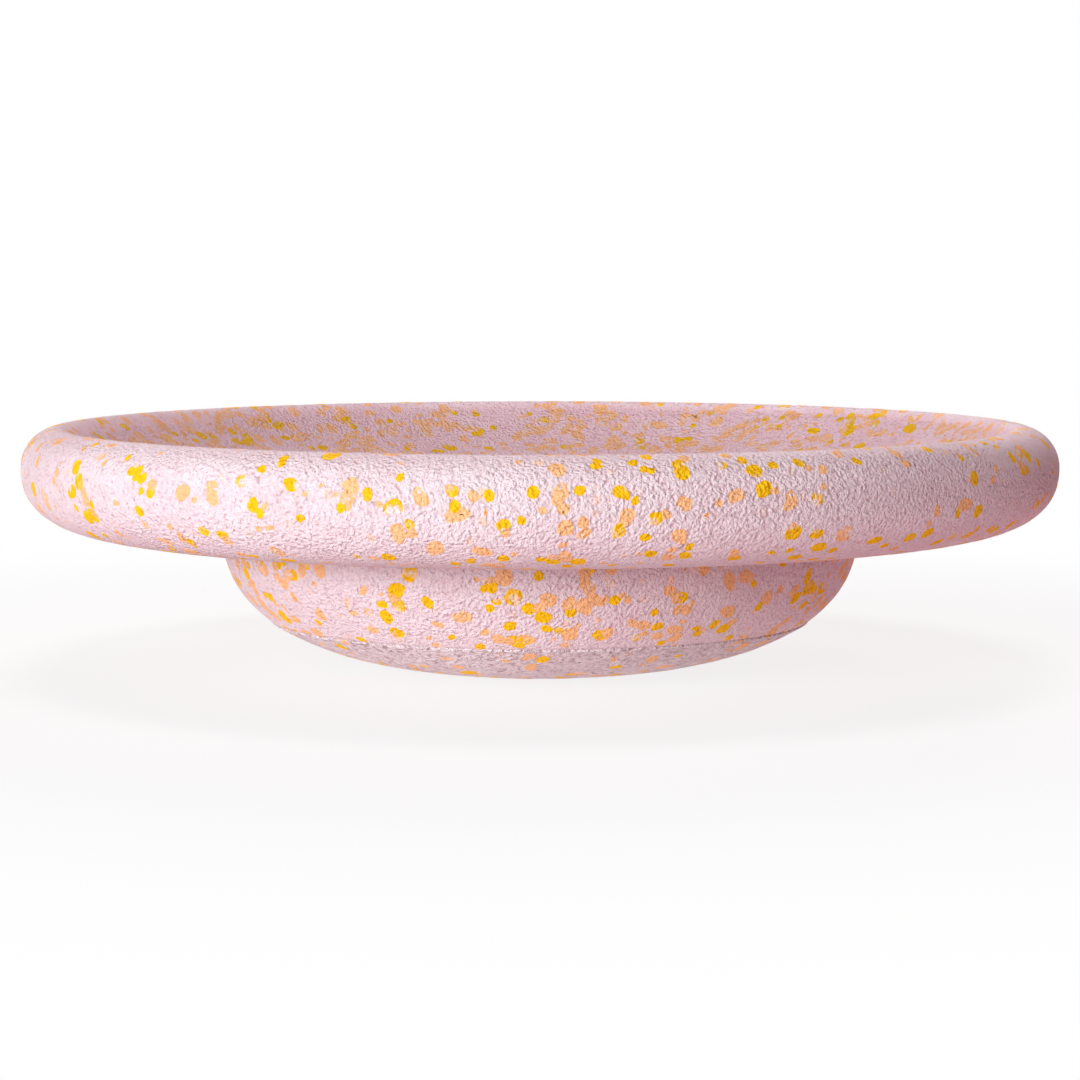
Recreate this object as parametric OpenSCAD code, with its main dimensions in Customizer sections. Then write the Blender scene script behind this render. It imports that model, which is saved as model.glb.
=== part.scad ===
// Round balance board in moulded bead foam: a dished deck on a rocker base with a bonded sole.
// Every piece is turned about Z. Z is 0 at the floor, and sizes are in millimetres.

/* [Deck] */
// Outside diameter of the deck
deck_d = 380; // [320:1:440]
// Height of the rim's crest above the floor
board_h = 90; // [75:1:110]
// Thickness of the deck at its rim, from the crest to the underside
rim_h = 38; // [36:1:46]
// Radius of the upper outer edge of the rim
rim_top_r = 14; // [8:0.5:18]
// How far in from the edge the curve under the rim reaches
rim_under_w = 36; // [24:1:50]
// Fullness of the curve under the rim, where 2 is an ellipse and more is squarer
rim_under_n = 2.4; // [2:0.1:3]

/* [Dish] */
// Depth of the dish below the crest
dish_depth = 24; // [14:0.5:25]
// Width of the dish's wall, from the crest in to the flat floor
dish_wall_w = 58; // [40:1:80]
// Radius of the inner edge of the crest
crest_in_r = 5; // [3:0.5:12]
// Radius where the dish's wall runs out into its floor
dish_foot_r = 75; // [20:1:120]

/* [Base] */
// Diameter of the base where it meets the deck
neck_d = 235; // [200:1:260]
// Fullness of the rocker's curve, where 2 is an ellipse and more is squarer
rocker_n = 2.3; // [2:0.1:3]
// Diameter of the flat foot that the board stands on
foot_d = 40; // [20:1:80]
// How far the edge of the sole lies inside the neck
sole_inset = 17.5; // [10:0.5:40]

/* [Seats] */
// Diameter of the base's spigot, which sits in the deck
spigot_d = 150; // [100:1:180]
// Height of the base's spigot
spigot_h = 8; // [5:0.5:9]
// Diameter of the sole's spigot, which sits in the base
stub_d = 110; // [60:1:140]
// Height of the sole's spigot
stub_h = 8; // [5:0.5:14]
// Glue gap round and above each spigot
glue_gap = 0.3; // [0.1:0.05:0.6]
// Radius of the round groove that marks each joint on the outside
groove_r = 0.9; // [0.4:0.1:1.5]

/* [Hidden] */
$fn = 180;
// Steps along each curve of an outline
curve_steps = 16;
// How far a cut runs past the face that it opens on
cut_over = 1;
// How far a spigot is rooted in the piece that carries it
spigot_root = 1;

// Deck
deck_r = deck_d / 2;
crest_r = deck_r - rim_top_r;
widest_z = board_h - rim_top_r;
under_z = board_h - rim_h;
dish_floor_r = crest_r - dish_wall_w;
dish_floor_z = board_h - dish_depth;
// The two radii of the dish's wall share the room that its width and depth leave
wall_room = (dish_wall_w * dish_wall_w + dish_depth * dish_depth) / (2 * dish_depth);
wall_top_r = min(crest_in_r, 0.4 * wall_room);
wall_foot_r = min(dish_foot_r, 0.98 * wall_room - wall_top_r);
wall_radii = wall_top_r + wall_foot_r;
// Slope of the straight stretch of wall that is tangent to both radii
wall_rise = wall_radii - dish_depth;
wall_a = asin(wall_radii / norm([dish_wall_w, wall_rise])) - atan2(wall_rise, dish_wall_w);

// Base and sole
neck_r = neck_d / 2;
foot_r = foot_d / 2;
sole_r = neck_r - sole_inset;
// Angle on the rocker's curve at the edge of the sole, and the height of that edge
sole_a = acos(pow((sole_r - foot_r) / (neck_r - foot_r), rocker_n / 2));
sole_z = under_z * (1 - pow(sin(sole_a), 2 / rocker_n));

foam_pink = [0.91, 0.80, 0.83];
sole_pink = [0.86, 0.74, 0.78];

// Points along a round arc about centre c
function arc(c, r, a0, a1) = [
    for (i = [0:curve_steps])
        let (a = a0 + (a1 - a0) * i / curve_steps)
        c + r * [cos(a), sin(a)]
];

// Points along a superellipse about centre c, from its side at 0 degrees down to its bottom at 90
function bulge(c, w, h, n, a0, a1) = [
    for (i = [0:curve_steps])
        let (a = a0 + (a1 - a0) * i / curve_steps)
        c + [w * pow(cos(a), 2 / n), -h * pow(sin(a), 2 / n)]
];

// Points along the rocker's curve between two of its angles
function rocker(a0, a1) = bulge([foot_r, under_z], neck_r - foot_r, under_z, rocker_n, a0, a1);

// Solid turned about Z from an outline that starts and ends on the axis
module turned(outline) {
    rotate_extrude()
        polygon(outline);
}

// Spigot that stands on the face at height z, and is rooted below it
module spigot(d, h, z) {
    translate([0, 0, z - spigot_root])
        cylinder(d = d, h = h + spigot_root);
}

// Socket for a spigot, cut up from the face at height z with the glue gap all round
module socket(d, h, z) {
    translate([0, 0, z - cut_over])
        cylinder(d = d + 2 * glue_gap, h = h + glue_gap + cut_over);
}

// Round groove along a joint of radius r at height z
module joint_groove(r, z) {
    rotate_extrude()
        translate([r, z])
            circle(r = groove_r, $fn = 32);
}

// Dished deck with its rolled rim, and the socket for the base under it
module deck() {
    color(foam_pink)
        difference() {
            turned(concat(
                [[0, dish_floor_z]],
                arc([dish_floor_r, dish_floor_z + wall_foot_r], wall_foot_r, -90, wall_a - 90),
                arc([crest_r, board_h - wall_top_r], wall_top_r, 90 + wall_a, 90),
                arc([crest_r, widest_z], rim_top_r, 90, 0),
                bulge([deck_r - rim_under_w, widest_z], rim_under_w, rim_h - rim_top_r, rim_under_n, 0, 90),
                [[0, under_z]]
            ));
            socket(spigot_d, spigot_h, under_z);
        }
}

// Round block under the deck: spigot on top, socket for the sole below
module rocker_base() {
    color(foam_pink)
        difference() {
            union() {
                turned(concat([[0, under_z]], rocker(0, sole_a), [[0, sole_z]]));
                spigot(spigot_d, spigot_h, under_z);
            }
            socket(stub_d, stub_h, sole_z);
            joint_groove(neck_r, under_z);
            joint_groove(sole_r, sole_z);
        }
}

// Rounded pad that the board rocks on, with its flat foot
module sole() {
    color(sole_pink)
        difference() {
            union() {
                turned(concat([[0, sole_z]], rocker(sole_a, 90), [[0, 0]]));
                spigot(stub_d, stub_h, sole_z);
            }
            joint_groove(sole_r, sole_z);
        }
}

deck();
rocker_base();
sole();
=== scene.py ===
"""Looks of the round balance board: speckled bead foam, every moulding turned about Z.

Geometry Nodes turn the three mouldings from their outlines and set coloured beads into their skin. Each
result is kept as a plain closed mesh. Sizes are in metres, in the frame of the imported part, with Z at 0 on
the floor."""
import math

import bpy
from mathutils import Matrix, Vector


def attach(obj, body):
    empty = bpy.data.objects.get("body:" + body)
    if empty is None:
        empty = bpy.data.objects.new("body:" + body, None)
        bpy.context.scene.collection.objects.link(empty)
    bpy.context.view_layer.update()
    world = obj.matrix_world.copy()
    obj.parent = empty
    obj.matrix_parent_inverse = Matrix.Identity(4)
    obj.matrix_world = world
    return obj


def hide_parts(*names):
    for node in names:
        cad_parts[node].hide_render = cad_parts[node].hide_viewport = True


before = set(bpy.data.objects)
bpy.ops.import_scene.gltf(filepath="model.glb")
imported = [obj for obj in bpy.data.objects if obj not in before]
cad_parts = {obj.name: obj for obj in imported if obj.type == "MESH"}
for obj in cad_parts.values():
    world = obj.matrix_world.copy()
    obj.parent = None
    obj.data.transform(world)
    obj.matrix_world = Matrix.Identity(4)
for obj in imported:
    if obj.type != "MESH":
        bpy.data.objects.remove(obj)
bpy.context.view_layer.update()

MM = 0.001

# Deck, as in the part's source
DECK_R = 190 * MM
BOARD_H = 90 * MM
RIM_H = 38 * MM
RIM_TOP_R = 14 * MM
RIM_UNDER_W = 36 * MM
RIM_UNDER_N = 2.4
DISH_DEPTH = 24 * MM
DISH_WALL_W = 58 * MM
CREST_IN_R = 5 * MM
DISH_FOOT_R = 75 * MM

# Base and sole, as in the part's source
NECK_R = 117.5 * MM
ROCKER_N = 2.3
FOOT_R = 20 * MM
SOLE_R = 100 * MM
SPIGOT_R = 75 * MM
SPIGOT_H = 8 * MM
STUB_R = 55 * MM
STUB_H = 8 * MM
GLUE_GAP = 0.3 * MM
GROOVE_R = 0.9 * MM

# Lip at the edge of the sole: height, rounding and how far it runs on
LIP_RISE = 0.6 * MM
LIP_ROUND = 1.0 * MM
LIP_FADE = 5.0 * MM

# Heights and radii that follow from these sizes
UNDER_Z = BOARD_H - RIM_H
CREST_R = DECK_R - RIM_TOP_R
WIDEST_Z = BOARD_H - RIM_TOP_R
FLOOR_R = CREST_R - DISH_WALL_W
FLOOR_Z = BOARD_H - DISH_DEPTH
WALL_RADII = CREST_IN_R + DISH_FOOT_R
WALL_RISE = WALL_RADII - DISH_DEPTH
WALL_A = math.degrees(
    math.asin(WALL_RADII / math.hypot(DISH_WALL_W, WALL_RISE)) - math.atan2(WALL_RISE, DISH_WALL_W)
)
SOLE_A = math.degrees(math.acos(((SOLE_R - FOOT_R) / (NECK_R - FOOT_R)) ** (ROCKER_N / 2)))
SOLE_Z = UNDER_Z * (1 - math.sin(math.radians(SOLE_A)) ** (2 / ROCKER_N))

# Spacing of the rows of mesh points along the outlines; hidden stretches keep their ends only
ROW_STEP = 1.6 * MM
FINE_STEP = 0.3 * MM
HIDDEN_STEP = 1.0
# Rows of an outline, and points of a mesh, that count as one when they are as near as this
SAME_ROW = 0.01 * MM
SAME_SPOT = 0.002 * MM

# Relief of the skin: sizes of its slow waves, of its bead pillows and of the start of its grain
WAVE = 45 * MM
PILLOW = 4.6 * MM
CRUMB = 3.6 * MM
# Beads of the foam, bare stretches between the coloured ones, and their clumps
FOAM_BEAD = 4.4 * MM
BARE_STRETCH = 26 * MM
CLUMP = 11 * MM
# Coloured beads: sides of their outline, how far the top stands above the skin, how deep the edge is sunk
BEAD_SIDES = 14
BEAD_RISE = 0.06 * MM
BEAD_SINK = 0.25 * MM
# Size of the noise that makes their outlines ragged
RAGGED = 3.2 * MM

# Where the dish's beads end at the crest, and start above the level of its floor
BEADS_OUT = (CREST_R - 6 * MM, CREST_R - 2 * MM)
BEADS_UP = (FLOOR_Z - 3 * MM, FLOOR_Z - 1 * MM)
# Where the dish's finish, with its painted shade, ends and starts in the same way, and where the crest's own
# starts and ends
DISH_OUT = (CREST_R - 6 * MM, CREST_R - 1 * MM)
DISH_UP = (FLOOR_Z - 2 * MM, FLOOR_Z - 1 * MM)
CREST_FROM = (CREST_R - 9 * MM, CREST_R - 4 * MM)
CREST_TO = (CREST_R + 3 * MM, CREST_R + 11 * MM)
# How much of the grain's height they lose
DISH_SMOOTH = 0.10
CREST_SMOOTH = 0.45
# Sizes of the mottled patches, of the skin that runs over beads, and of its thin spots in the dish
MOTTLE = 38 * MM
VEIL_PATCH = 5 * MM
THIN_SPOT = 2.4 * MM
# Roughness of the skin where it is least, what the patches add to it, and its faint shine
ROUGH = 0.68
ROUGHER = 0.22
SHINE = 0.12

# Colours, as the eye sees them; each deep one serves both the random mottle and the painted shade in the
# grain's dips
PINK = (0.910, 0.848, 0.870)
PINK_DEEP = (0.800, 0.607, 0.645)
# The sole's pale pink is painted lighter than the deck's, as painted light from below, and its deep pink
# darker, for stronger painted shade in its grain
SOLE_PINK_PAINTED_LIGHT = (0.985, 0.925, 0.940)
SOLE_DEEP = (0.690, 0.480, 0.520)
YELLOW = (0.975, 0.755, 0.085)
YELLOW_DEEP = (0.930, 0.665, 0.015)
APRICOT = (0.965, 0.742, 0.545)
APRICOT_DEEP = (0.915, 0.640, 0.425)
# Painted shade that darkens each colour in the dish
DISH_SHADE_PINK = (0.975, 0.914, 0.930)
DISH_SHADE_APRICOT = (0.935, 0.930, 0.950)
DISH_SHADE_YELLOW = (0.920, 0.930, 0.850)


def linear(colour):
    """A colour as seen, given as the linear values that a shader takes."""
    parts = [c / 12.92 if c <= 0.04045 else ((c + 0.055) / 1.055) ** 2.4 for c in colour]
    return (*parts, 1.0)


class Link:
    """A node's output. Python's operators on it add Math nodes to its tree."""

    def __init__(self, graph, socket):
        self.graph = graph
        self.socket = socket

    def out(self, name):
        """Another output of the same node."""
        return Link(self.graph, self.socket.node.outputs[name])

    def axis(self, name):
        """One axis of a vector."""
        return self.graph.node("ShaderNodeSeparateXYZ", sockets={0: self}, out=name)

    def maths(self, operation):
        """A Math node for which Python has no operator, such as a sine."""
        return self.graph.maths(operation, self)

    def __add__(self, other):
        return self.graph.maths("ADD", self, other)

    def __radd__(self, other):
        return self.graph.maths("ADD", other, self)

    def __sub__(self, other):
        return self.graph.maths("SUBTRACT", self, other)

    def __rsub__(self, other):
        return self.graph.maths("SUBTRACT", other, self)

    def __mul__(self, other):
        return self.graph.maths("MULTIPLY", self, other)

    def __rmul__(self, other):
        return self.graph.maths("MULTIPLY", other, self)

    def __truediv__(self, other):
        return self.graph.maths("DIVIDE", self, other)

    def __rtruediv__(self, other):
        return self.graph.maths("DIVIDE", other, self)

    def __pow__(self, other):
        return self.graph.maths("POWER", self, other)


class Graph:
    """Fills one node tree, of a material, the world or a Geometry Nodes group."""

    def __init__(self, tree):
        self.tree = tree
        tree.nodes.clear()

    def node(self, kind, settings=None, sockets=None, out=0):
        """Adds a node, its settings first, then its sockets' values or links. Gives one of its outputs."""
        made = self.tree.nodes.new(kind)
        for name, value in (settings or {}).items():
            setattr(made, name, value)
        for name, value in (sockets or {}).items():
            for one in value if isinstance(value, list) else [value]:
                if isinstance(one, Link):
                    self.tree.links.new(one.socket, made.inputs[name])
                else:
                    made.inputs[name].default_value = one
        return Link(self, made.outputs[out]) if len(made.outputs) else made

    def maths(self, operation, *values):
        """Adds a Math node."""
        return self.node("ShaderNodeMath", {"operation": operation}, dict(enumerate(values)))

    def vector(self, operation, *values, scale=None):
        """Adds a Vector Math node."""
        sockets = dict(enumerate(values))
        if scale is not None:
            sockets["Scale"] = scale
        return self.node("ShaderNodeVectorMath", {"operation": operation}, sockets)

    def from_axis(self, place):
        """Distance of a place from the board's own axis, Z."""
        return self.vector("LENGTH", self.vector("MULTIPLY", place, (1.0, 1.0, 0.0))).out("Value")

    def step(self, value, low, high, to_low=0.0, to_high=1.0):
        """A smooth step from to_low to to_high as value goes from low to high."""
        sockets = {0: value, 1: low, 2: high, 3: to_low, 4: to_high}
        return self.node("ShaderNodeMapRange", {"interpolation_type": "SMOOTHSTEP"}, sockets)

    def blend(self, factor, first, second):
        """A colour between two colours."""
        return self.node("ShaderNodeMix", {"data_type": "RGBA"}, {0: factor, 6: first, 7: second}, out=2)

    def noise(self, place, size, detail=1.0, roughness=0.5, out=0):
        """Noise whose lumps are about one size across."""
        sockets = {"Vector": place, "Scale": 1 / size, "Detail": detail, "Roughness": roughness}
        return self.node("ShaderNodeTexNoise", {}, sockets, out=out)

    def cells(self, place, size, out=0):
        """Cells that are about one size across, as foam beads are."""
        sockets = {"Vector": place, "Scale": 1 / size}
        return self.node("ShaderNodeTexVoronoi", {"feature": "F1"}, sockets, out=out)


def new_group(name, inputs):
    """A Geometry Nodes group with named inputs. Gives its graph, and its inputs' links and identifiers."""
    tree = bpy.data.node_groups.new(name, "GeometryNodeTree")
    graph = Graph(tree)
    keys = {}
    for label, kind in inputs.items():
        made = tree.interface.new_socket(label, in_out="INPUT", socket_type="NodeSocket" + kind)
        keys[label] = made.identifier
    tree.interface.new_socket("Result", in_out="OUTPUT", socket_type="NodeSocketGeometry")
    entry = graph.node("NodeGroupInput")
    given = {label: entry.out(label) for label in inputs}
    return graph, given, keys


def end_group(graph, shape, material):
    """Closes a group: plain mesh with its material."""
    shape = graph.node("GeometryNodeRealizeInstances", {}, {"Geometry": shape})
    shape = graph.node("GeometryNodeSetMaterial", {}, {"Geometry": shape, "Material": material})
    graph.node("NodeGroupOutput", {}, {"Result": shape})


def turned_group():
    """Group that turns an outline about Z, closes both ends and gives the skin a slight uneven relief."""
    graph, given, keys = new_group("turned_moulding", {
        "Outline": "Geometry", "Turns": "Int", "Fine top": "Bool", "Fine bottom": "Bool",
        "Relief": "Float", "Foam": "Material",
    })
    turns = given["Turns"]
    outline = given["Outline"]
    rows = graph.node("GeometryNodeAttributeDomainSize", {"component": "MESH"}, {"Geometry": outline})
    place = graph.node("GeometryNodeInputPosition")
    index = graph.node("GeometryNodeInputIndex")
    named_skin = graph.node("GeometryNodeInputNamedAttribute", {"data_type": "FLOAT"}, {"Name": "skin"})

    def on_outline(value, kind, row):
        settings = {"data_type": kind, "domain": "POINT"}
        sockets = {"Geometry": outline, "Value": value, "Index": row}
        return graph.node("GeometryNodeSampleIndex", settings, sockets)

    def keep_skin(shape, value):
        settings = {"data_type": "FLOAT", "domain": "POINT"}
        sockets = {"Geometry": shape, "Name": "skin", "Value": value}
        return graph.node("GeometryNodeStoreNamedAttribute", settings, sockets)

    # The wall: one row of points for each point of the outline
    around = turns + 1
    row = ((index + 0.5) / around).maths("FLOOR")
    angle = (index - row * around) * (2 * math.pi) / turns
    point = on_outline(place, "FLOAT_VECTOR", row)
    radius = point.axis("X")
    spot = graph.node("ShaderNodeCombineXYZ", {}, {
        0: radius * angle.maths("COSINE"), 1: radius * angle.maths("SINE"), 2: point.axis("Z"),
    })
    wall = graph.node("GeometryNodeMeshGrid", {}, {"Vertices X": rows, "Vertices Y": around})
    wall = keep_skin(wall, on_outline(named_skin, "FLOAT", row))
    wall = graph.node("GeometryNodeSetPosition", {}, {"Geometry": wall, "Position": spot})

    # A fine end: a square grid drawn out to a disc whose edge has the wall's own points
    side = turns / 4 + 1
    grid = graph.node("GeometryNodeMeshGrid", {}, {
        "Size X": 2.0, "Size Y": 2.0, "Vertices X": side, "Vertices Y": side,
    })
    a, b = place.axis("X"), place.axis("Y")
    wide = graph.maths("GREATER_THAN", a.maths("ABSOLUTE"), b.maths("ABSOLUTE"))
    reach = wide * a + (1 - wide) * b
    swing = wide * (b / a) + (1 - wide) * (2 - a / b)
    swing = swing * (math.pi / 4)
    spot = graph.node("ShaderNodeCombineXYZ", {}, {
        0: reach * swing.maths("COSINE"), 1: reach * swing.maths("SINE"),
    })
    disc = keep_skin(graph.node("GeometryNodeSetPosition", {}, {"Geometry": grid, "Position": spot}), 1.0)
    plain = graph.node("GeometryNodeMeshCircle", {"fill_type": "NGON"}, {"Vertices": turns, "Radius": 1.0})

    def end(fine, row):
        point = on_outline(place, "FLOAT_VECTOR", row)
        radius = point.axis("X")
        size = graph.node("ShaderNodeCombineXYZ", {}, {0: radius, 1: radius, 2: 1.0})
        spot = graph.node("ShaderNodeCombineXYZ", {}, {2: point.axis("Z")})
        shape = graph.node("GeometryNodeSwitch", {"input_type": "GEOMETRY"}, {
            "Switch": fine, "False": plain, "True": disc,
        })
        return graph.node("GeometryNodeTransform", {}, {
            "Geometry": shape, "Translation": spot, "Scale": size,
        })

    top = end(given["Fine top"], 0)
    bottom = graph.node("GeometryNodeFlipFaces", {}, {"Mesh": end(given["Fine bottom"], rows - 1)})
    shape = graph.node("GeometryNodeJoinGeometry", {}, {"Geometry": [wall, top, bottom]})
    shape = graph.node("GeometryNodeMergeByDistance", {}, {"Geometry": shape, "Distance": SAME_SPOT})

    # Relief: slow waves, pillows of the beads and the start of the grain, all sunk below the moulding's size
    waves = graph.noise(place, WAVE)
    pillows = graph.node("ShaderNodeTexVoronoi", {"feature": "SMOOTH_F1"}, {
        "Vector": place, "Scale": 1 / PILLOW, "Smoothness": 0.4,
    })
    grain = graph.noise(place, CRUMB)
    depth = 0.40 * waves + 0.30 * pillows + 0.30 * grain
    normal = graph.node("GeometryNodeInputNormal")
    shift = graph.vector("SCALE", normal, scale=-1 * depth * given["Relief"] * named_skin)
    shape = graph.node("GeometryNodeSetPosition", {}, {"Geometry": shape, "Offset": shift})
    shape = graph.node("GeometryNodeSetShadeSmooth", {}, {"Geometry": shape, "Shade Smooth": True})
    end_group(graph, shape, given["Foam"])
    return graph.tree, keys


def bead_group():
    """Group that sets beads of one colour into a moulding's skin, each a flat closed lens that follows it."""
    graph, given, keys = new_group("inset_beads", {
        "Moulding": "Geometry", "Seed": "Int", "Beads per m2": "Float", "Beads per m2 in dish": "Float",
        "Least radius": "Float", "Most radius": "Float", "Squeeze": "Float", "Ragged": "Float",
        "Bead": "Material",
    })
    skin_mesh = given["Moulding"]
    seed = given["Seed"]
    place = graph.node("GeometryNodeInputPosition")
    named_skin = graph.node("GeometryNodeInputNamedAttribute", {"data_type": "FLOAT"}, {"Name": "skin"})

    def draw(low, high, salt):
        sockets = {2: low, 3: high, "Seed": seed + salt}
        return graph.node("FunctionNodeRandomValue", {"data_type": "FLOAT"}, sockets, out=1)

    def keep(shape, name, value, domain):
        settings = {"data_type": "FLOAT", "domain": domain}
        sockets = {"Geometry": shape, "Name": name, "Value": value}
        return graph.node("GeometryNodeStoreNamedAttribute", settings, sockets)

    # Beads lie at random, with bare stretches and with tight clumps that run into one another
    shift = graph.node("ShaderNodeCombineXYZ", {}, {0: seed * 0.37, 1: seed * 0.11})
    drift = graph.vector("ADD", place, shift)
    bare = graph.step(graph.noise(drift, BARE_STRETCH), 0.36, 0.62, 0.55, 1.25)
    clump = graph.step(graph.noise(drift, CLUMP), 0.60, 0.70, 0.0, 1.9)
    within = graph.step(graph.from_axis(place), *BEADS_OUT, 1.0, 0.0)
    within = within * graph.step(place.axis("Z"), *BEADS_UP)
    wanted = given["Beads per m2"] * (1 - within) + given["Beads per m2 in dish"] * within
    points = graph.node("GeometryNodeDistributePointsOnFaces", {"distribute_method": "RANDOM"}, {
        "Mesh": skin_mesh, "Density": wanted * named_skin * (bare + clump), "Seed": seed,
    })

    # One bead: a cone whose rings become the sunk edge, the top edge and a middle ring
    bead = graph.node("GeometryNodeMeshCone", {"fill_type": "NGON"}, {
        "Vertices": BEAD_SIDES, "Side Segments": 3, "Fill Segments": 1,
        "Radius Top": 0.0, "Radius Bottom": 1.0, "Depth": 3.0,
    })
    level = place.axis("Z")
    edge = graph.maths("LESS_THAN", level, 0.5)
    ring = graph.maths("LESS_THAN", level, 1.5) * (1 - edge)
    bead = keep(bead, "lift", BEAD_RISE - (BEAD_RISE + BEAD_SINK) * edge, "POINT")
    widen = graph.node("ShaderNodeCombineXYZ", {}, {0: 1 + 0.46 * ring, 1: 1 + 0.46 * ring, 2: 0.0})
    bead = graph.node("GeometryNodeSetPosition", {}, {
        "Geometry": bead, "Position": graph.vector("MULTIPLY", place, widen),
    })

    # The top is smooth, with a crisp edge to the sunk side
    named_lift = graph.node("GeometryNodeInputNamedAttribute", {"data_type": "FLOAT"}, {"Name": "lift"})
    sunk = graph.node("GeometryNodeFieldOnDomain", {"data_type": "BOOLEAN", "domain": "FACE"}, {
        0: graph.maths("LESS_THAN", named_lift, 0.0),
    })
    bead = graph.node("GeometryNodeSetShadeSmooth", {}, {"Geometry": bead, "Shade Smooth": True})
    bead = graph.node("GeometryNodeSetShadeSmooth", {"domain": "EDGE"}, {
        "Geometry": bead, "Selection": sunk, "Shade Smooth": False,
    })

    spread = draw(0.0, 1.0, 1) ** 1.4
    radius = given["Least radius"] + (given["Most radius"] - given["Least radius"]) * spread
    stretch = draw(given["Squeeze"], 1.0, 2)
    size = graph.node("ShaderNodeCombineXYZ", {}, {0: radius / stretch, 1: radius * stretch, 2: 1.0})
    spin = graph.node("FunctionNodeAxisAngleToRotation", {}, {
        "Axis": (0, 0, 1), "Angle": draw(0.0, 2 * math.pi, 3),
    })
    turn = graph.node("FunctionNodeRotateRotation", {"rotation_space": "LOCAL"}, {
        0: points.out("Rotation"), 1: spin,
    })
    beads = graph.node("GeometryNodeInstanceOnPoints", {}, {
        "Points": points, "Instance": bead, "Rotation": turn, "Scale": size,
    })
    beads = keep(beads, "tone", draw(0.0, 1.0, 4), "INSTANCE")
    beads = graph.node("GeometryNodeRealizeInstances", {}, {"Geometry": beads})

    # Ragged outlines, then every point goes to its lift above the nearest skin
    pull = graph.vector("SUBTRACT", graph.noise(place, RAGGED, 3.0, 0.6, out=1), (0.5, 0.5, 0.5))
    pull = graph.vector("SCALE", pull, scale=given["Ragged"])
    beads = graph.node("GeometryNodeSetPosition", {}, {"Geometry": beads, "Offset": pull})
    near = graph.node("GeometryNodeProximity", {"target_element": "FACES"}, {"Geometry": skin_mesh})
    normal = graph.node("GeometryNodeSampleNearestSurface", {"data_type": "FLOAT_VECTOR"}, {
        "Mesh": skin_mesh, "Value": graph.node("GeometryNodeInputNormal"),
    })
    spot = graph.vector("ADD", near, graph.vector("SCALE", normal, scale=named_lift))
    beads = graph.node("GeometryNodeSetPosition", {}, {"Geometry": beads, "Position": spot})
    end_group(graph, beads, given["Bead"])
    return graph.tree, keys


def settle(name, mesh, group, values):
    """Runs a Geometry Nodes group on a mesh and keeps the result as a plain closed mesh object."""
    tree, keys = group
    source = bpy.data.objects.new(name + "_source", mesh)
    bpy.context.scene.collection.objects.link(source)
    modifier = source.modifiers.new("shape", "NODES")
    modifier.node_group = tree
    for label, value in values.items():
        modifier[keys[label]] = value
    depsgraph = bpy.context.evaluated_depsgraph_get()
    made = bpy.data.meshes.new_from_object(source.evaluated_get(depsgraph), depsgraph=depsgraph)
    source.modifiers.remove(modifier)
    bpy.data.objects.remove(source)
    made.name = name
    piece = bpy.data.objects.new(name, made)
    bpy.context.scene.collection.objects.link(piece)
    return piece


def arc(centre, radius, start, end, count=40):
    """Points on a round arc between two angles in degrees."""
    angles = [math.radians(start + (end - start) * i / count) for i in range(count + 1)]
    return [(centre[0] + radius * math.cos(a), centre[1] + radius * math.sin(a)) for a in angles]


def bulge(centre, width, height, fullness, start, end, count=80):
    """Points on a superellipse from its side, at 0 degrees, down to its bottom, at 90."""
    angles = [math.radians(start + (end - start) * i / count) for i in range(count + 1)]
    power = 2 / fullness
    across = [width * max(0.0, math.cos(a)) ** power for a in angles]
    down = [height * max(0.0, math.sin(a)) ** power for a in angles]
    return [(centre[0] + x, centre[1] - y) for x, y in zip(across, down)]


def rocker(start, end, count=80):
    """Points on the rocker's curve between two of its angles."""
    return bulge((FOOT_R, UNDER_Z), NECK_R - FOOT_R, UNDER_Z, ROCKER_N, start, end, count)


def clear_of(points, centre):
    """The points that a joint's groove leaves."""
    return [p for p in points if math.dist(p, centre) > GROOVE_R * 1.02]


def groove(centre, first, last):
    """The groove's own arc about a joint, between the points that lead into it and out of it."""
    start, end = (math.degrees(math.atan2(p[1] - centre[1], p[0] - centre[0])) % 360 for p in (first, last))
    return arc(centre, GROOVE_R, start, end, 6)


def along(points):
    """Length of the outline up to each of its points."""
    marks = [0.0]
    for p, q in zip(points, points[1:]):
        marks.append(marks[-1] + math.dist(p, q))
    return marks


def lipped(points):
    """An outline with a small rounded lip that starts below it, stands proud and fades away along it."""
    moved = []
    for i, s in enumerate(along(points)):
        p, q = points[max(i - 1, 0)], points[min(i + 1, len(points) - 1)]
        step = math.dist(p, q)
        outward = ((p[1] - q[1]) / step, (q[0] - p[0]) / step)
        round_off = math.sqrt(1 - max(0.0, 1 - s / LIP_ROUND) ** 2)
        rise = LIP_RISE * math.exp(-s / LIP_FADE) * (2 * round_off - 1)
        moved.append((points[i][0] + rise * outward[0], points[i][1] + rise * outward[1]))
    return moved


def even_rows(stretches):
    """Outline points at even steps along each stretch, as a list of (r, z, skin)."""
    rows = []
    for points, skin, step in stretches:
        marks = along(points)
        count = max(1, round(marks[-1] / step))
        k = 0
        for i in range(count + 1):
            goal = marks[-1] * i / count
            while k < len(points) - 2 and marks[k + 1] < goal:
                k += 1
            t = (goal - marks[k]) / (marks[k + 1] - marks[k])
            p, q = points[k], points[k + 1]
            spot = (p[0] + (q[0] - p[0]) * t, p[1] + (q[1] - p[1]) * t, skin)
            if not rows or math.dist(rows[-1][:2], spot[:2]) > SAME_ROW:
                rows.append(spot)
    return rows


def outline_mesh(name, rows):
    """The outline as points of a mesh, each with its skin value."""
    mesh = bpy.data.meshes.new(name)
    mesh.from_pydata([(r, 0, z) for r, z, skin in rows], [(i, i + 1) for i in range(len(rows) - 1)], [])
    skin = mesh.attributes.new("skin", "FLOAT", "POINT")
    skin.data.foreach_set("value", [row[2] for row in rows])
    return mesh


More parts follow.
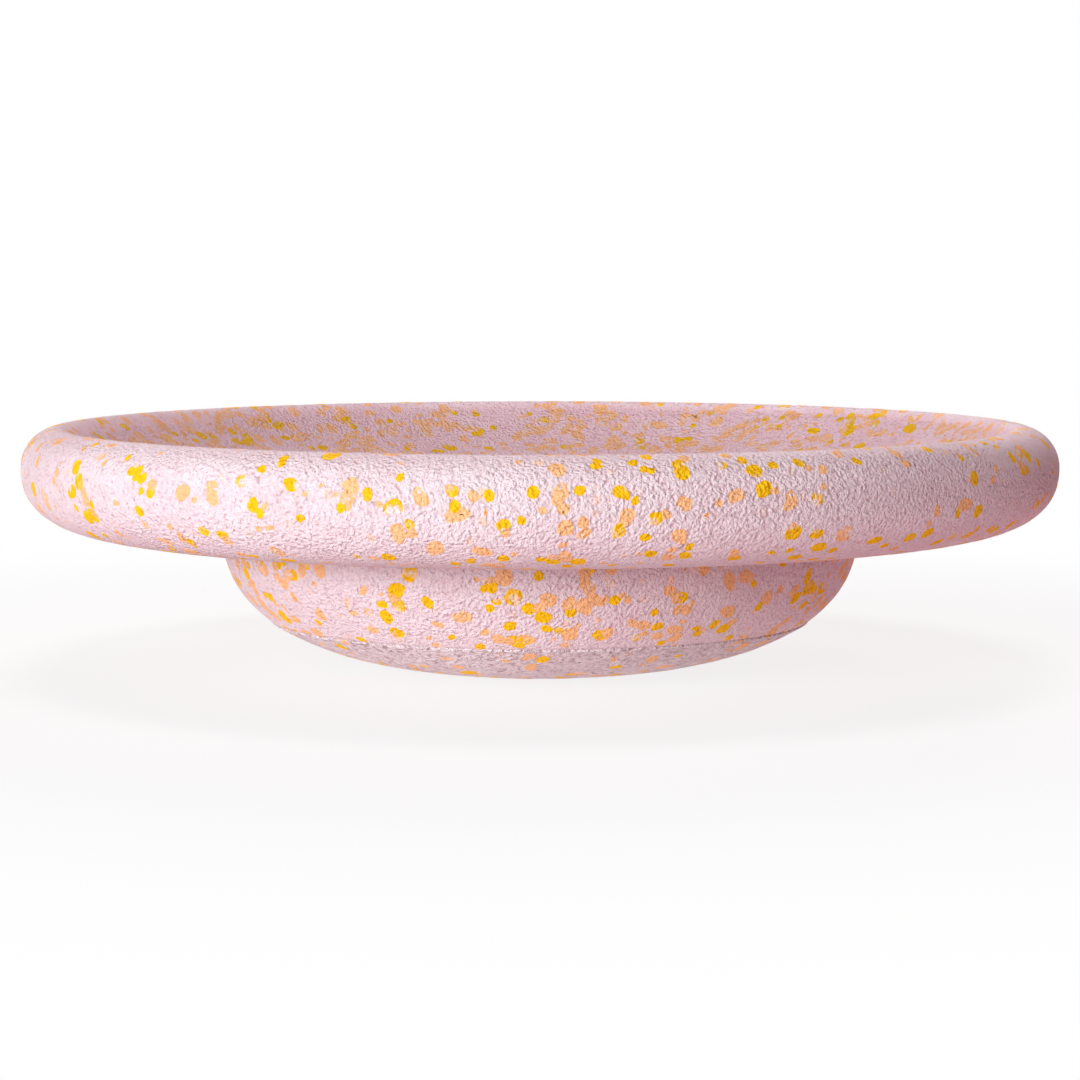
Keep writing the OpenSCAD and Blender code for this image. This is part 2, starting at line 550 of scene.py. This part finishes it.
def deck_outline():
    """Dish floor's edge, wall, crest, rim, underside, and the socket for the base."""
    wall = arc((FLOOR_R, FLOOR_Z + DISH_FOOT_R), DISH_FOOT_R, -90, WALL_A - 90)
    wall += arc((CREST_R, BOARD_H - CREST_IN_R), CREST_IN_R, 90 + WALL_A, 90)
    rim = arc((CREST_R, WIDEST_Z), RIM_TOP_R, 90, 0)
    rim += bulge((DECK_R - RIM_UNDER_W, WIDEST_Z), RIM_UNDER_W, RIM_H - RIM_TOP_R, RIM_UNDER_N, 0, 90)[1:]
    socket_r = SPIGOT_R + GLUE_GAP
    socket_z = UNDER_Z + SPIGOT_H + GLUE_GAP
    return [
        (wall + rim[1:] + [(NECK_R, UNDER_Z)], 1, ROW_STEP),
        ([(NECK_R, UNDER_Z), (socket_r, UNDER_Z)], 0, HIDDEN_STEP),
        ([(socket_r, UNDER_Z), (socket_r, socket_z)], 0, HIDDEN_STEP),
    ]


def base_outline():
    """Spigot, top face, groove under the deck, flank, bottom face, and the socket for the sole."""
    neck, seam = (NECK_R, UNDER_Z), (SOLE_R, SOLE_Z)
    flank = clear_of(rocker(0, SOLE_A), neck)
    lip = (NECK_R - GROOVE_R, UNDER_Z)
    socket_r = STUB_R + GLUE_GAP
    socket_z = SOLE_Z + STUB_H + GLUE_GAP
    return [
        ([(SPIGOT_R, UNDER_Z + SPIGOT_H), (SPIGOT_R, UNDER_Z)], 0, HIDDEN_STEP),
        ([(SPIGOT_R, UNDER_Z), lip], 0, HIDDEN_STEP),
        (groove(neck, lip, flank[0]), 1, FINE_STEP),
        (flank, 1, ROW_STEP),
        ([seam, (socket_r, SOLE_Z)], 0, HIDDEN_STEP),
        ([(socket_r, SOLE_Z), (socket_r, socket_z)], 0, HIDDEN_STEP),
    ]


def sole_outline():
    """Spigot, top face, lip, and the rocker's curve down to the edge of the flat foot."""
    curve = lipped(rocker(SOLE_A, 90, 600))
    turn = next(i for i, s in enumerate(along(curve)) if s > 2 * LIP_ROUND)
    return [
        ([(STUB_R, SOLE_Z + STUB_H), (STUB_R, SOLE_Z)], 0, HIDDEN_STEP),
        ([(STUB_R, SOLE_Z), curve[0]], 0, HIDDEN_STEP),
        (curve[:turn + 1], 1, FINE_STEP),
        (curve[turn:], 1, ROW_STEP),
    ]


def skin_grain(graph, place, size):
    """Height of the moulded grain: small crumpled bumps about one size across, from 0 to 1."""
    bend = graph.vector("SCALE", graph.noise(place, 2.2 * size, 1.0, out=1), scale=0.8 * size)
    bent = graph.vector("ADD", place, bend)
    lumps = graph.noise(bent, size, 3.0, 0.6)
    ridges = 1 - (graph.noise(bent, 1.5 * size, 1.0) * 2 - 1).maths("ABSOLUTE")
    knobs = 1 - graph.cells(bent, 1.15 * size)
    return 0.62 * lumps + 0.16 * ridges + 0.22 * knobs


def foam_finish(name, colours, grain_size, grain_depth, dish_shade, bead_veil=None):
    """Matte foam skin: mottled colour with painted shade in the grain's dips and in the dish, with the grain
    as bump.

    A bead's finish has a veil: how much of the foam's own skin runs over it in the dish."""
    material = bpy.data.materials.new(name)
    material.use_nodes = True
    graph = Graph(material.node_tree)
    place = graph.node("ShaderNodeTexCoord", out="Object")
    grain = skin_grain(graph, place, grain_size)
    pale, deep = (linear(c) for c in colours)

    # The dish is a little smoother than the rest and darker with painted shade, and its crest is smoother
    # still
    out = graph.from_axis(place)
    above = graph.step(place.axis("Z"), *DISH_UP)
    crest = above * graph.step(out, *CREST_FROM) * graph.step(out, *CREST_TO, 1.0, 0.0)
    dished = above * graph.step(out, *DISH_OUT, 1.0, 0.0)

    patches = graph.noise(place, MOTTLE, 2.0)
    # Painted shade: the grain's dips go toward the deep colour
    painted_hollow_shade = graph.step(grain, 0.32, 0.56, 1.0, 0.0)
    tone = 0.35 * patches + 0.65 * painted_hollow_shade
    if bead_veil is not None:
        # Some beads are dull, and the skin of the foam runs thinly over parts of others
        own = graph.node("ShaderNodeAttribute", {"attribute_name": "tone"}, out="Fac")
        colour = graph.blend(0.55 * tone + 0.25 * own, pale, deep)
        veil = graph.step(graph.noise(place, VEIL_PATCH, 2.0), 0.50, 0.66)
        veil = veil * graph.step(own, 0.55, 0.95, 0.0, 0.9)
        colour = graph.blend(veil, colour, linear(PINK))
        thin = graph.step(graph.noise(place, THIN_SPOT, 2.0), 0.46, 0.68, 0.0, bead_veil)
        colour = graph.blend(dished * thin, colour, linear(PINK))
    else:
        # Each bead of the foam differs a little, and a few coloured ones show faintly through the skin
        beads = graph.cells(place, FOAM_BEAD, out="Color")
        colour = graph.blend(0.95 * tone + 0.10 * beads.axis("Y"), pale, deep)
        spot = graph.step(graph.cells(place, FOAM_BEAD), 0.30, 0.46, 1.0, 0.0)
        chosen = graph.step(beads.axis("X"), 0.925, 0.935)
        ghost = spot * chosen * graph.step(beads.axis("Z"), 0.0, 1.0, 0.12, 0.5)
        colour = graph.blend(ghost, colour, linear(APRICOT))
    # Painted shade: the colours of the dish are darkened
    colour = graph.node("ShaderNodeMix", {"data_type": "RGBA", "blend_type": "MULTIPLY"}, {
        0: dished, 6: colour, 7: linear(dish_shade),
    }, out=2)
    height = grain * (1 - DISH_SMOOTH * dished - CREST_SMOOTH * crest)
    bump = graph.node("ShaderNodeBump", {}, {
        "Strength": 1.0, "Distance": grain_depth, "Height": height,
    })
    skin = graph.node("ShaderNodeBsdfPrincipled", {}, {
        "Base Color": colour,
        "Roughness": ROUGH + ROUGHER * patches,
        "Specular IOR Level": SHINE,
        "Normal": bump,
    })
    graph.node("ShaderNodeOutputMaterial", {}, {"Surface": skin})
    return material


# Foam finishes: size and depth of their grain, and the veil over the apricot beads of the dish
GRAIN = 1.22 * MM
GRAIN_DEPTH = 2.9 * MM
BEAD_DEPTH = 3.0 * MM
COARSE_GRAIN = 1.9 * MM
COARSE_DEPTH = 9.0 * MM
APRICOT_VEIL = 0.45
deck_foam = foam_finish("pink_foam", (PINK, PINK_DEEP), GRAIN, GRAIN_DEPTH, DISH_SHADE_PINK)
sole_foam = foam_finish("pink_foam_coarse", (SOLE_PINK_PAINTED_LIGHT, SOLE_DEEP), COARSE_GRAIN, COARSE_DEPTH, DISH_SHADE_PINK)
yellow_bead = foam_finish("yellow_bead", (YELLOW, YELLOW_DEEP), GRAIN, BEAD_DEPTH, DISH_SHADE_YELLOW, 0.0)
apricot_bead = foam_finish(
    "apricot_bead", (APRICOT, APRICOT_DEEP), GRAIN, BEAD_DEPTH, DISH_SHADE_APRICOT, APRICOT_VEIL,
)

turned = turned_group()
inset = bead_group()
# Mouldings: name, outline, points around, fine top and bottom, relief, finish, CAD node and record slot
MOULDINGS = [
    ("deck_foam", deck_outline(), 560, (True, False), 0.22 * MM, deck_foam, "deck", "speckled_foam"),
    ("base_foam", base_outline(), 480, (False, False), 0.22 * MM, deck_foam, "rocker_base", "speckled_foam"),
    ("sole_foam", sole_outline(), 400, (False, True), 0.30 * MM, sole_foam, "sole", "sole_foam"),
]
# Sorts of bead: radii, least squeeze to an oval, raggedness, finish
APRICOT_SORT = ((0.9 * MM, 3.3 * MM), 0.74, 3.8 * MM, apricot_bead)
YELLOW_SORT = ((1.4 * MM, 3.1 * MM), 0.84, 2.8 * MM, yellow_bead)
# Beads: name, moulding, seed, beads per square metre outside the dish and in it, sort
BEADS = [
    ("dish_apricot_beads", "deck_foam", 11, 0.0, 13500.0, APRICOT_SORT),
    ("dish_apricot_beads_more", "deck_foam", 21, 0.0, 13500.0, APRICOT_SORT),
    ("rim_apricot_beads", "deck_foam", 12, 6600.0, 0.0, APRICOT_SORT),
    ("deck_yellow_beads", "deck_foam", 4, 5600.0, 5400.0, YELLOW_SORT),
    ("base_apricot_beads", "base_foam", 13, 11500.0, 0.0, APRICOT_SORT),
    ("base_yellow_beads", "base_foam", 8, 5600.0, 0.0, YELLOW_SORT),
    ("sole_apricot_beads", "sole_foam", 14, 4600.0, 0.0, APRICOT_SORT),
    ("sole_yellow_beads", "sole_foam", 6, 2800.0, 0.0, YELLOW_SORT),
]
for name, outline, turns, (fine_top, fine_bottom), relief, finish, node, slot in MOULDINGS:
    moulding = settle(name, outline_mesh(name + "_outline", even_rows(outline)), turned, {
        "Turns": turns, "Fine top": fine_top, "Fine bottom": fine_bottom, "Relief": relief, "Foam": finish,
    })
    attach(moulding, "root")
    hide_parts(node)
for name, carrier, seed, outside, in_dish, ((least, most), squeeze, ragged, finish) in BEADS:
    beads = settle(name, bpy.data.objects[carrier].data, inset, {
        "Seed": seed, "Beads per m2": outside, "Beads per m2 in dish": in_dish, "Least radius": least,
        "Most radius": most, "Squeeze": squeeze, "Ragged": ragged, "Bead": finish,
    })
    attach(beads, "root")

# Studio: distance of the lamps, half the width of the floor, and the light's colours
LAMP_FAR = 2.2
FLOOR_HALF = 4.0
WHITE = (1.0, 1.0, 1.0)
ROSE_FILL = (1.0, 0.50, 0.55)
ROSE_GLOW = (1.0, 0.53, 0.58)
# Floor: its paint as it is seen, and as it throws light back at the board
FLOOR_PAINT = (0.86, 0.85, 0.85, 1.0)
FLOOR_BOUNCE = (0.62, 0.45, 0.48, 1.0)
# Its share of plain white under the board, and where it becomes all white, in metres from the middle
LEAST_WHITE = 0.80
FLOOR_FADE = (0.20, 0.55)
# Where its glow under the board ends, and where the glow behind passes into the one in front
UNDER_BOARD = (0.09, 0.15)
TO_FRONT_LEFT = (-0.64, -0.77, 0.0)
BACK_TO_FRONT = (-0.15, 0.35)


def soft_lamp(name, around, up, size, power, colour):
    """A soft square lamp aimed at the board, so many degrees round from the camera and up."""
    lamp = bpy.data.lights.new(name, "AREA")
    lamp.shape = "SQUARE"
    lamp.size = size
    lamp.energy = power
    lamp.color = colour
    holder = bpy.data.objects.new(name, lamp)
    a, e = math.radians(around), math.radians(up)
    away = Vector((math.sin(a) * math.cos(e), -math.cos(a) * math.cos(e), math.sin(e)))
    holder.location = away * LAMP_FAR + Vector((0, 0, BOARD_H / 2))
    holder.rotation_euler = away.to_track_quat("Z", "Y").to_euler()
    bpy.context.scene.collection.objects.link(holder)


def shown_directly(graph):
    """1 for rays that show the surroundings as they are: to the camera, mirrored or through glass."""
    path = graph.node("ShaderNodeLightPath", out="Is Camera Ray")
    return path + path.out("Is Glossy Ray") + path.out("Is Transmission Ray")


def white_room(ambient, ambient_colour):
    """Even soft light from all round, seen as plain white."""
    world = bpy.data.worlds.new("studio")
    world.use_nodes = True
    graph = Graph(world.node_tree)
    soft = graph.node("ShaderNodeBackground", {}, {"Color": (*ambient_colour, 1.0), "Strength": ambient})
    white = graph.node("ShaderNodeBackground", {}, {"Color": (*WHITE, 1.0), "Strength": 1.0})
    shown = graph.node("ShaderNodeMixShader", {}, {0: shown_directly(graph), 1: soft, 2: white})
    graph.node("ShaderNodeOutputWorld", {}, {"Surface": shown})
    bpy.context.scene.world = world


def light_table(half, near_glow, front_glow, back_glow):
    """Pale floor that lights the board from below, keeps its shadow and fades to plain white around it."""
    mesh = bpy.data.meshes.new("floor")
    corners = [(-half, -half, 0), (half, -half, 0), (half, half, 0), (-half, half, 0)]
    mesh.from_pydata(corners, [], [(0, 1, 2, 3)])
    floor = bpy.data.objects.new("floor", mesh)
    bpy.context.scene.collection.objects.link(floor)
    material = bpy.data.materials.new("pale_floor")
    material.use_nodes = True
    graph = Graph(material.node_tree)

    def glow(strength, colour):
        return graph.node("ShaderNodeEmission", {}, {"Color": (*colour, 1.0), "Strength": strength})

    place = graph.node("ShaderNodeTexCoord", out="Object")
    out = graph.vector("LENGTH", place).out("Value")
    far = graph.step(out, *FLOOR_FADE, LEAST_WHITE, 1.0)
    paint = graph.node("ShaderNodeBsdfDiffuse", {}, {"Color": FLOOR_PAINT})
    white = glow(1.0, WHITE)
    lean = graph.vector("DOT_PRODUCT", place, TO_FRONT_LEFT).out("Value")
    beside = graph.node("ShaderNodeMixShader", {}, {
        0: graph.step(lean, *BACK_TO_FRONT), 1: glow(*back_glow), 2: glow(*front_glow),
    })
    uplight = graph.node("ShaderNodeMixShader", {}, {
        0: graph.step(out, *UNDER_BOARD), 1: glow(*near_glow), 2: beside,
    })
    bounce = graph.node("ShaderNodeBsdfDiffuse", {}, {"Color": FLOOR_BOUNCE})
    lit = graph.node("ShaderNodeAddShader", {}, {0: bounce, 1: uplight})
    seen = graph.node("ShaderNodeMixShader", {}, {0: far, 1: paint, 2: white})
    shown = graph.node("ShaderNodeMixShader", {}, {0: shown_directly(graph), 1: lit, 2: seen})
    graph.node("ShaderNodeOutputMaterial", {}, {"Surface": shown})
    mesh.materials.append(material)


# Lamps: name, degrees round from the camera and up, width in metres, power in watts, colour
LAMPS = [
    ("low_key", -50, 6, 0.6, 34.5, (0.90, 1.0, 1.0)),
    ("front_soft", -20, 14, 0.6, 31, (0.91, 1.0, 1.0)),
    ("top_soft", 0, 88, 0.9, 21, (1.0, 0.90, 0.91)),
    ("back_soft", 168, 25, 0.9, 25, (1.0, 0.96, 0.96)),
]
for lamp in LAMPS:
    soft_lamp(*lamp)
white_room(ambient=0.10, ambient_colour=ROSE_FILL)
light_table(FLOOR_HALF, near_glow=(0.68, WHITE), front_glow=(0.36, WHITE), back_glow=(0.37, ROSE_GLOW))

# Camera at the photograph's angle
CAMERA_FAR = 1137 * MM
CAMERA_TILT = math.radians(5.33)
AIM_Z = 46.7 * MM
PICTURE_PX = 1080
FOCAL_PX = 3059
SENSOR_MM = 36
camera_data = bpy.data.cameras.new("camera")
camera_data.sensor_width = SENSOR_MM
camera_data.lens = FOCAL_PX / PICTURE_PX * SENSOR_MM
camera = bpy.data.objects.new("camera", camera_data)
camera.location = (0, -CAMERA_FAR * math.cos(CAMERA_TILT), AIM_Z + CAMERA_FAR * math.sin(CAMERA_TILT))
camera.rotation_euler = (math.pi / 2 - CAMERA_TILT, 0, 0)
bpy.context.scene.collection.objects.link(camera)
bpy.context.scene.camera = camera
bpy.context.scene.view_settings.view_transform = "Standard"
